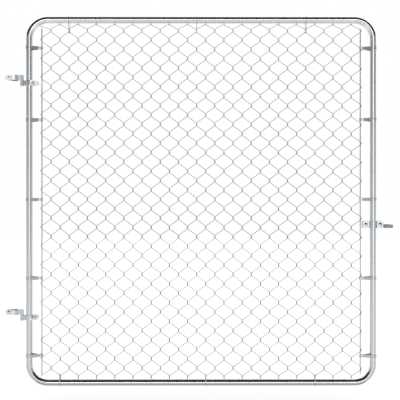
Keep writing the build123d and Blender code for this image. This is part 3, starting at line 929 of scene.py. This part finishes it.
def hex_nut():
    n = 72
    r = NUT_AF / math.sqrt(3)

    def ring(z, cone):
        pts = []
        for k in range(n):
            a = 2 * math.pi * k / n
            b = (a + math.pi / 6) % (math.pi / 3) - math.pi / 6
            flat = NUT_AF / 2 / math.cos(b)
            m = min(flat, r - 0.10, cone)
            pts.append((m * math.cos(a), m * math.sin(a), z))
        return pts

    rings = [circle(4.6, 0, n)]
    for z in (0.0, 0.12, 0.24):
        rings.append(ring(z, 6.55 + z * 3.2))
    for z in (0.4, NUT_H / 2, NUT_H - 1.0):
        rings.append(ring(z, 99))
    for k in range(9):
        z = NUT_H - 0.72 * (1 - k / 8)
        rings.append(ring(z, r - 1.4 * (k / 8)))
    rings.append(circle(4.75, NUT_H, n))
    rings.append(circle(4.02, NUT_H - 0.6, n))
    rings.append(circle(4.02, 0.5, n))
    verts = np.concatenate([np.asarray(q, float) for q in rings])
    faces = []
    for k in range(len(rings)):
        k2 = (k + 1) % len(rings)
        for j in range(n):
            j2 = (j + 1) % n
            faces.append((k * n + j, k * n + j2, k2 * n + j2, k2 * n + j))
    g = Geo()
    g.add(verts, faces)
    return g


def washer():
    r0, r1, t = WASHER_HOLE / 2, WASHER_D / 2, WASHER_T
    line = [(r0, 0.2), (r0 + 0.2, 0), (r1 - 0.45, 0), (r1 - 0.12, 0.14), (r1, 0.5), (r1, t - 0.25), (r1 - 0.25, t),
            (r0 + 0.2, t), (r0, t - 0.2)]
    g = lathe(line + [line[0]], 56)
    # the last ring repeats the first: join them
    v = np.concatenate(g.v)
    n = 56
    keep = len(line) * n
    g.v = [v[:keep]]
    g.f = [tuple(i if i < keep else i - keep for i in f) for f in g.f]
    g.count = keep
    return g


bolt_hinge = carriage_bolt(25.4, 4.4)
bolt_latch = carriage_bolt(28.6, CLAMP_T)
nut_up = hex_nut()                     # seat at z = 0, outer end up
washer_up = washer()


def fasten(into, what, x, y, z, way, spin=0.0):
    """way +1 points the piece's +Z to the back, -1 to the front."""
    m = (Z_TO_BACK if way > 0 else Z_TO_FRONT) @ turn_z(spin)
    into.join(what.copy((x, y, z), turn=m))


def heights(node, half):
    lo, hi = box(node)
    return hi[2] - half, lo[2] + half


z_up, z_low = heights("post_hinge_bolts", DOME_D / 2)
sets = {}
x_post = box("post_hinge_bolts")[0][0] + DOME_D / 2
for n, z in enumerate((z_up, z_low)):
    fasten(sets.setdefault("post_bolts", Geo()), bolt_hinge, x_post, -EAR_Y, z, -1)
    fasten(sets.setdefault("post_washers", Geo()), washer_up, x_post, EAR_Y, z, 1)
    fasten(sets.setdefault("post_nuts", Geo()), nut_up, x_post, EAR_Y + WASHER_T, z, 1, 11 + 23 * n)
x_gate = box("frame_hinge_bolts")[1][0] - DOME_D / 2
for n, z in enumerate(heights("frame_hinge_bolts", DOME_D / 2)):
    fasten(sets.setdefault("gate_bolts", Geo()), bolt_hinge, x_gate, EAR_Y, z, 1)
    fasten(sets.setdefault("gate_washers", Geo()), washer_up, x_gate, -EAR_Y, z, -1)
    fasten(sets.setdefault("gate_nuts", Geo()), nut_up, x_gate, -EAR_Y - WASHER_T, z, -1, 17 + 31 * n)
for name, x in (("clamp", X_RIGHT - CLAMP_BOLT), ("pivot", X_PIVOT)):
    fasten(sets.setdefault("latch_" + name + "_b", Geo()), bolt_latch, x, -PLATE_Y, Z_PIVOT, -1)
    fasten(sets.setdefault("latch_" + name + "_n", Geo()), nut_up, x, PLATE_Y, Z_PIVOT, 1, 7 if name == "clamp" else 20)
for key, name, body, node in (
        ("post_bolts", "carriage_bolts_post", "post_side", "post_hinge_bolts"),
        ("post_washers", "washers_post", "post_side", "post_hinge_washers"),
        ("post_nuts", "nuts_post", "post_side", "post_hinge_nuts"),
        ("gate_bolts", "carriage_bolts_gate", "gate_leaf", "frame_hinge_bolts"),
        ("gate_washers", "washers_gate", "gate_leaf", "frame_hinge_washers"),
        ("gate_nuts", "nuts_gate", "gate_leaf", "frame_hinge_nuts"),
        ("latch_clamp_b", "carriage_bolt_clamp", "gate_leaf", "latch_clamp_bolt"),
        ("latch_clamp_n", "nut_clamp", "gate_leaf", "latch_clamp_nut"),
        ("latch_pivot_b", "carriage_bolt_pivot", "gate_leaf", "latch_pivot_bolt"),
        ("latch_pivot_n", "nut_pivot", "gate_leaf", "latch_pivot_nut")):
    finish = FASTENER if name.startswith("carriage") else NUT
    piece(name, sets[key], body, finish, [node], sharp=32)


# ---------------------------------------------------------------------------
# Hinge straps and pins
# ---------------------------------------------------------------------------
def hinge_strap(bore):
    """One strap: front ear, round the tube, neck, round the pin, and back."""
    ear = EAR_Y - STRAP_T / 2          # middle of an ear
    rm = R_TUBE + CLAMP_CLEAR + STRAP_T / 2
    fr = 2.4 + STRAP_T / 2             # bend where an ear leaves the tube
    cy = ear + fr
    cx = -math.sqrt((rm + fr) ** 2 - cy ** 2)
    neck = STRAP_T / 2 + 0.15
    nx = math.sqrt((rm + fr) ** 2 - (neck + fr) ** 2)
    rb = bore + STRAP_T / 2
    bx = PIN_OFFSET - math.sqrt((rb + fr) ** 2 - (neck + fr) ** 2)
    deg = math.degrees
    a_ear = deg(math.atan2(cy, -cx))           # of the fillet's centre, seen from the tube
    a_neck = deg(math.atan2(neck + fr, nx))
    a_pin = deg(math.atan2(neck + fr, PIN_OFFSET - bx))
    line = Flat()
    line.run(-EAR_END, -ear, cx, -ear, 8)
    line.arc(cx, -cy, fr, 90, a_ear)
    line.arc(0, 0, rm, 180 + a_ear, 360 - a_neck, 5)
    line.arc(nx, -(neck + fr), fr, 180 - a_neck, 90)
    line.run(nx, -neck, bx, -neck)
    line.arc(bx, -(neck + fr), fr, 90, a_pin)
    line.arc(PIN_OFFSET, 0, rb, 180 + a_pin, 540 - a_pin, 6)
    line.arc(bx, neck + fr, fr, -a_pin, -90)
    line.run(bx, neck, nx, neck)
    line.arc(nx, neck + fr, fr, 270, 180 + a_neck)
    line.arc(0, 0, rm, a_neck, 180 - a_ear, 5)
    line.arc(cx, cy, fr, -a_ear, -90)
    line.run(cx, ear, -EAR_END, ear, 8)
    r = STRAP_H / 2 - 0.3
    return strap(line, STRAP_T, STRAP_H / 2, 0.5, (r, r), (r, r))


def hinge_pin(z_low, z_high):
    """z_low is the underside of the head."""
    r, head = PIN_R, PIN_R + STRAP_T
    line = [(0, z_low)]
    for k in range(6):
        a = math.radians(-90 + 90 * k / 5)
        line.append((head - 1.2 + 1.2 * math.cos(a), z_low + 1.2 + 1.2 * math.sin(a)))
    line += [(head, z_low + 2.15), (head - 0.25, z_low + 2.4), (r, z_low + 2.4), (r, z_high - 1.0),
             (r - 0.12, z_high - 0.8), (r - 0.85, z_high - 0.1), (r - 1.05, z_high), (0, z_high)]
    return line


strap_post = hinge_strap(PIN_R + 0.03)
strap_gate = hinge_strap(PIN_R + 0.07).copy(turn=turn_z(180))
for key in ("upper", "lower"):
    lo, hi = box(key + "_post_hinge_strap")
    g = strap_post.copy((lo[0] + EAR_END, 0, (lo[2] + hi[2]) / 2))
    piece("strap_post_" + key, g, "post_side", STRAP, [key + "_post_hinge_strap"])
    lo, hi = box(key + "_frame_hinge_strap")
    g = strap_gate.copy((hi[0] - EAR_END, 0, (lo[2] + hi[2]) / 2))
    piece("strap_gate_" + key, g, "gate_leaf", STRAP, [key + "_frame_hinge_strap"])
    lo, hi = box(key + "_hinge_pin")
    g = lathe(hinge_pin(lo[2], hi[2]), 56, ((lo[0] + hi[0]) / 2, (lo[1] + hi[1]) / 2, 0))
    piece("pin_" + key, g, "post_side", PIN, [key + "_hinge_pin"], sharp=30)


# ---------------------------------------------------------------------------
# Fork latch
# ---------------------------------------------------------------------------
def clamp_plate():
    """The front plate, about the stile's axis."""
    ear = PLATE_Y - CLAMP_T / 2
    rm = R_TUBE + CLAMP_CLEAR + CLAMP_T / 2
    fr = 3.0 + CLAMP_T / 2
    cy = ear + fr
    cx = math.sqrt((rm + fr) ** 2 - cy ** 2)
    a = math.degrees(math.atan2(cy, cx))
    line = Flat()
    line.run(-CLAMP_EAR, -ear, -cx, -ear, 6)
    line.arc(-cx, -cy, fr, 90, a)
    line.arc(0, 0, rm, 180 + a, 360 - a, 5)
    line.arc(cx, -cy, fr, 180 - a, 90)
    line.run(cx, -ear, CLAMP_EAR, -ear, 6)
    return strap(line, CLAMP_T, 18.0, 0.55, (8.0, 8.0), (18.0, 3.0))


clamp = clamp_plate()
piece("clamp_plate_front", clamp.copy((X_RIGHT, 0, Z_PIVOT)), "gate_leaf", LATCH,
      ["latch_clamp_front"])
piece("clamp_plate_back", clamp.copy(mirror=1).copy((X_RIGHT, 0, Z_PIVOT)), "gate_leaf", LATCH,
      ["latch_clamp_back"])


def fork():
    mid_x, mid_y = 20.3, 20.8
    line = Flat()
    line.polyline([(57.4, -23.4), (49.4, -mid_y), (mid_x, -mid_y), (mid_x, mid_y), (49.4, mid_y), (57.4, 23.4)],
                  [9.0, 4.4, 4.4, 9.0], 7)
    g = strap(line, 3.2, 8.5, 0.5, (3.0, 3.0), (3.0, 3.0), z=-8.0)
    # the lug, between the clamp plates
    outline = []
    for k in range(0, 61):
        a = math.radians(92 + (258 - 92) * k / 60)
        outline.append((9 * math.cos(a), 9 * math.sin(a)))
    outline += [(4.0, -10.25), (8.0, -11.3), (13.0, -12.7), (19.3, -14.4), (19.3, -8.0), (19.3, 0.1)]
    outline += [(14.0, 3.1), (9.0, 5.3), (5.0, 7.0), (2.0, 8.3)]
    hole = [(4.02 * math.cos(2 * math.pi * k / 40), 4.02 * math.sin(2 * math.pi * k / 40)) for k in range(40)]
    lug = plate(outline, hole, 6.0, 0.4)
    g.join(lug)
    # fillet welds where the lug meets the web, both sides
    for side in (-1, 1):
        pts = []
        for k in range(57):
            f = k / 56
            z = -0.9 - 12.6 * f
            pts.append((18.55 + 0.12 * math.sin(f * 60), side * (3.1 + 0.15 * math.sin(f * 60 + 1)), z))
        g.join(round_bar(pts, 1.15, 12, nose=0.7, start=(1, 0, 0)))
    return g


piece("fork", fork().copy((X_PIVOT, 0, Z_PIVOT)), "latch_fork", FORK, ["latch_fork"])

# ---------------------------------------------------------------------------
# Floor, light and camera
# ---------------------------------------------------------------------------
mesh = bpy.data.meshes.new("floor")
mesh.from_pydata([(-9, -9, -0.4215), (11, -9, -0.4215), (11, 11, -0.4215), (-9, 11, -0.4215)], [], [(0, 1, 2, 3)])
floor = bpy.data.objects.new("floor", mesh)
bpy.context.scene.collection.objects.link(floor)
pale = bpy.data.materials.new("pale_floor")
pale.use_nodes = True
ft = Tree(pale.node_tree)
f_out = ft.node("ShaderNodeOutputMaterial")
f_bsdf = ft.node("ShaderNodeBsdfDiffuse", Color=(0.97, 0.97, 0.97, 1))
ft.t.links.new(f_bsdf.outputs[0], f_out.inputs[0])
mesh.materials.append(pale)
floor.visible_glossy = False

# a darker card flat on the floor right under the gate, seen only in the metal
mesh = bpy.data.meshes.new("shade_card")
mesh.from_pydata([(-0.4, -0.5, -0.4212), (2.3, -0.5, -0.4212), (2.3, 0.5, -0.4212), (-0.4, 0.5, -0.4212)], [],
                 [(0, 1, 2, 3)])
card = bpy.data.objects.new("shade_card", mesh)
scene_collection = bpy.context.scene.collection
scene_collection.objects.link(card)
shade = bpy.data.materials.new("shade_card_tone")
shade.use_nodes = True
st = Tree(shade.node_tree)
s_out = st.node("ShaderNodeOutputMaterial")
s_x, s_y, s_z = st.node("ShaderNodeSeparateXYZ", Vector=st.node("ShaderNodeTexCoord").outputs["Object"]).outputs
s_far = st.math("MULTIPLY", st.math("ABSOLUTE", s_y), 2.0)
s_tone = st.ramp(s_far, [(0.0, 0.42), (0.14, 0.45), (0.30, 0.62), (0.6, 0.66), (1.0, 0.75)])
s_in = st.math("MULTIPLY", st.math("GREATER_THAN", s_x, 0.05), st.math("LESS_THAN", s_x, 1.80))
s_em = st.node("ShaderNodeEmission", Color=st.mix(s_in, (0.68, 0.68, 0.68), s_tone))
st.t.links.new(s_em.outputs[0], s_out.inputs[0])
mesh.materials.append(shade)
card.visible_camera = False
card.visible_diffuse = False
card.visible_shadow = False
card.visible_transmission = False


# a thin strip light that runs round just in front of the frame, and its twin
# behind, seen only in the metal: the bright line along the middle of each tube
def ring_light(name, y, left, right, top, bottom, half=2.7, radius=82.0):
    corners = [(left, bottom), (left, top), (right, top), (right, bottom)]
    line = []
    for i, (cx, cz) in enumerate(corners):
        ox = cx + radius * (1 if i < 2 else -1)
        oz = cz + radius * (1 if i in (0, 3) else -1)
        for k in range(13):
            a = math.radians(270 - 90 * i - 90 * k / 12)
            line.append((ox, oz, math.cos(a), math.sin(a)))
    verts = []
    for ox, oz, c, s in line:
        for r in (radius - half, radius + half):
            verts.append(((ox + r * c) * 0.001, y * 0.001, (oz + r * s) * 0.001))
    n = len(line)
    faces = [(2 * k, 2 * k + 1, 2 * ((k + 1) % n) + 1, 2 * ((k + 1) % n)) for k in range(n)]
    m = bpy.data.meshes.new(name)
    m.from_pydata(verts, [], faces)
    o = bpy.data.objects.new(name, m)
    scene_collection.objects.link(o)
    m.materials.append(strip_light)
    o.visible_camera = False
    o.visible_diffuse = False
    o.visible_shadow = False
    o.visible_transmission = False


strip_light = bpy.data.materials.new("strip_light_tone")
strip_light.use_nodes = True
rt = Tree(strip_light.node_tree)
r_out = rt.node("ShaderNodeOutputMaterial")
r_z = rt.node("ShaderNodeSeparateXYZ", Vector=rt.node("ShaderNodeTexCoord").outputs["Object"]).outputs[2]
r_at = rt.math("DIVIDE", rt.math("ADD", r_z, 0.4), 2.0)


def up_to(z):
    return (z + 0.4) / 2.0


r_tone = rt.ramp(r_at, [(up_to(z), v / 8.0) for z, v in (
    (-0.334, 4.4), (-0.326, 2.5), (-0.31, 2.0), (-0.285, 1.4), (-0.13, 1.5), (0.07, 1.9), (0.36, 2.4), (0.75, 3.1), (1.24, 3.7),
    (1.50, 4.2))])
r_em = rt.node("ShaderNodeEmission", Color=r_tone, Strength=8.0)
rt.t.links.new(r_em.outputs[0], r_out.inputs[0])
ring_light("strip_light_front", -50, X_LEFT + 18.3, X_RIGHT + 1.8, Z_TOP + 5.8, Z_BOT + 11.4)
ring_light("strip_light_back", 50, X_LEFT - 1.8, X_RIGHT - 18.3, Z_TOP + 5.8, Z_BOT + 11.4)


# small curved cards round the hinge loops, seen only in the metal: each lights
# the outer half of its loop. A tone is given by its azimuth, +X being +90.
def loop_card(name, x0, z_low, z_high, stops, radius=40.0):
    first, last, n = stops[0][0], stops[-1][0], 40
    verts = []
    for k in range(n + 1):
        a = math.radians(first + (last - first) * k / n)
        for z in (z_low, z_high):
            verts.append(((x0 + radius * math.sin(a)) * 0.001, -radius * math.cos(a) * 0.001, z * 0.001))
    m = bpy.data.meshes.new(name)
    m.from_pydata(verts, [], [(2 * k, 2 * k + 1, 2 * k + 3, 2 * k + 2) for k in range(n)])
    mat = bpy.data.materials.new(name + "_tone")
    mat.use_nodes = True
    t = Tree(mat.node_tree)
    l_out = t.node("ShaderNodeOutputMaterial")
    lx, ly, lz = t.node("ShaderNodeSeparateXYZ", Vector=t.node("ShaderNodeTexCoord").outputs["Object"]).outputs
    turn = t.math("ARCTAN2", t.math("SUBTRACT", lx, x0 * 0.001), t.math("MULTIPLY", ly, -1.0))
    at = t.math("DIVIDE", t.math("ADD", turn, math.pi), 2 * math.pi)
    em = t.node("ShaderNodeEmission", Color=t.ramp(at, [((f + 180.0) / 360.0, v / 4.0) for f, v in stops]), Strength=4.0)
    t.t.links.new(em.outputs[0], l_out.inputs[0])
    m.materials.append(mat)
    o = bpy.data.objects.new(name, m)
    scene_collection.objects.link(o)
    o.visible_camera = False
    o.visible_diffuse = False
    o.visible_shadow = False
    o.visible_transmission = False


loop_card("post_card_upper", 0.0, 1152.0, 1184.0,
          [(-104, 0.93), (-90, 0.93), (-36, 1.05), (-11, 1.25), (9, 1.35), (22, 0.58), (40, 0.45), (75, 0.50)])
loop_card("post_card_lower", 0.0, -18.5, 9.5,
          [(-104, 0.88), (-45, 0.95), (9, 0.95), (22, 0.75), (40, 0.68), (75, 0.66)])
loop_card("frame_card_upper", X_LEFT, 1127.5, 1154.0,
          [(-140, 1.10), (-95, 0.85), (-68, 0.57), (-45, 0.36), (-9, 0.29), (12, 0.35), (22, 0.65), (35, 0.95),
           (49, 1.05), (80, 1.35), (125, 1.35)])
loop_card("frame_card_lower", X_LEFT, -43.5, -17.5,
          [(-140, 0.66), (-76, 0.56), (-40, 0.68), (-9, 0.70), (20, 0.80), (49, 0.90), (80, 1.10), (125, 1.10)])

world = bpy.data.worlds.new("studio")
bpy.context.scene.world = world
world.use_nodes = True
world.cycles.sampling_method = "NONE"
w = Tree(world.node_tree)
out = w.node("ShaderNodeOutputWorld")
direction = w.node("ShaderNodeTexCoord").outputs["Generated"]
xyz = w.node("ShaderNodeSeparateXYZ", Vector=direction)
dx, dy, dz = xyz.outputs
elev = w.math("MULTIPLY", w.math("ARCSINE", dz), 180 / math.pi)
azim = w.math("MULTIPLY", w.math("ARCTAN2", dx, w.math("ABSOLUTE", dy)), 180 / math.pi)
et = w.math("DIVIDE", w.math("ADD", elev, 90.0), 180.0)


def e(deg):
    return (deg + 90) / 180


GAIN = 8.0


def tone(*stops):
    return w.ramp(et, [(0.0, stops[0][1] / GAIN)] + [(e(d), v / GAIN) for d, v in stops])


base = tone((-80, 0.72), (-55, 0.80), (-30, 0.84), (-14, 0.68), (-4, 0.57), (4, 0.45), (14, 0.32), (19.0, 0.30),
            (20.2, 0.015))
back = tone((-80, 0.66), (-55, 0.74), (-40, 0.98), (-18, 0.98), (-10, 0.85), (0, 0.62), (14, 0.42), (20, 0.55),
            (24, 1.25), (54, 1.25), (58, 0.015))
far = tone((-25, 0.84), (-14, 0.84), (-4, 0.84), (4, 0.86), (14, 0.88), (20, 1.0), (24, 1.25), (54, 1.25),
           (58, 0.015))
left = tone((-25, 0.90), (-14, 0.92), (-4, 0.96), (4, 1.02), (14, 1.12), (24, 1.25), (54, 1.25), (58, 0.015))
low = tone((-80, 0.86), (-55, 1.02), (-30, 1.08), (-18, 0.90))
ends = tone((-40, 0.84), (-20, 0.98), (-14, 1.15), (-4, 1.35), (4, 1.42), (13.5, 1.45), (17.0, 0.8), (20.2, 0.015))
across = w.math("DIVIDE", w.math("ADD", azim, 90.0), 180.0)
behind = w.math("GREATER_THAN", dy, 0.0)
ends_on = w.ramp(across, [(e(-21.0), 0.0), (e(-20.2), 1.0), (e(-15.5), 1.0), (e(-14.7), 0.0), (e(15.2), 0.0),
                          (e(16.0), 1.0), (e(19.4), 1.0), (e(20.4), 0.0)])
far_on = w.math("MULTIPLY", w.ramp(across, [(e(17), 0.0), (e(20), 1.0), (e(66), 1.0), (e(72), 0.0)]), behind)
left_on = w.math("MULTIPLY", w.ramp(across, [(e(-66), 0.0), (e(-60), 1.0), (e(-20), 1.0), (e(-17), 0.0)]), behind)
low_on = w.math("MULTIPLY", w.ramp(across, [(e(-38), 1.0), (e(-26), 0.0), (e(26), 0.0), (e(38), 1.0)]),
                w.ramp(et, [(e(-26.0), 1.0), (e(-18.0), 0.0)]))
side_on = w.math("MULTIPLY", w.ramp(across, [(e(-54), 1.0), (e(-47), 0.0), (e(47), 0.0), (e(54), 1.0)]),
                 w.ramp(et, [(e(20.5), 0.0), (e(22.0), 1.0)]))
glossy = w.mix(behind, w.mix(ends_on, base, ends), back)
glossy = w.mix(far_on, glossy, far)
glossy = w.mix(left_on, glossy, left)
glossy = w.mix(low_on, glossy, low)
glossy = w.mix(side_on, glossy, (0.015 / GAIN, 0.015 / GAIN, 0.015 / GAIN))
path = w.node("ShaderNodeLightPath")
g_bg = w.node("ShaderNodeBackground", Color=glossy, Strength=GAIN)
d_bg = w.node("ShaderNodeBackground", Color=(1, 1, 1, 1), Strength=1.2)
c_bg = w.node("ShaderNodeBackground", Color=(1, 1, 1, 1), Strength=1.0)
m1 = w.node("ShaderNodeMixShader")
w.t.links.new(path.outputs["Is Glossy Ray"], m1.inputs[0])
w.t.links.new(d_bg.outputs[0], m1.inputs[1])
w.t.links.new(g_bg.outputs[0], m1.inputs[2])
m2 = w.node("ShaderNodeMixShader")
w.t.links.new(path.outputs["Is Camera Ray"], m2.inputs[0])
w.t.links.new(m1.outputs[0], m2.inputs[1])
w.t.links.new(c_bg.outputs[0], m2.inputs[2])
w.t.links.new(m2.outputs[0], out.inputs[0])

scene = bpy.context.scene
scene.view_settings.view_transform = "Standard"
scene.view_settings.look = "None"

cam = bpy.data.cameras.new("camera")
cam.sensor_fit = "HORIZONTAL"
cam.sensor_width = 36.0
cam.lens = 18.0 / math.tan(math.radians(20.0))
cam.clip_start, cam.clip_end = 0.05, 60.0
camera = bpy.data.objects.new("camera", cam)
scene.collection.objects.link(camera)
camera.location = (0.9134, -2.7287, 0.5561)
camera.rotation_euler = (math.pi / 2, 0, math.radians(-0.12))
scene.camera = camera
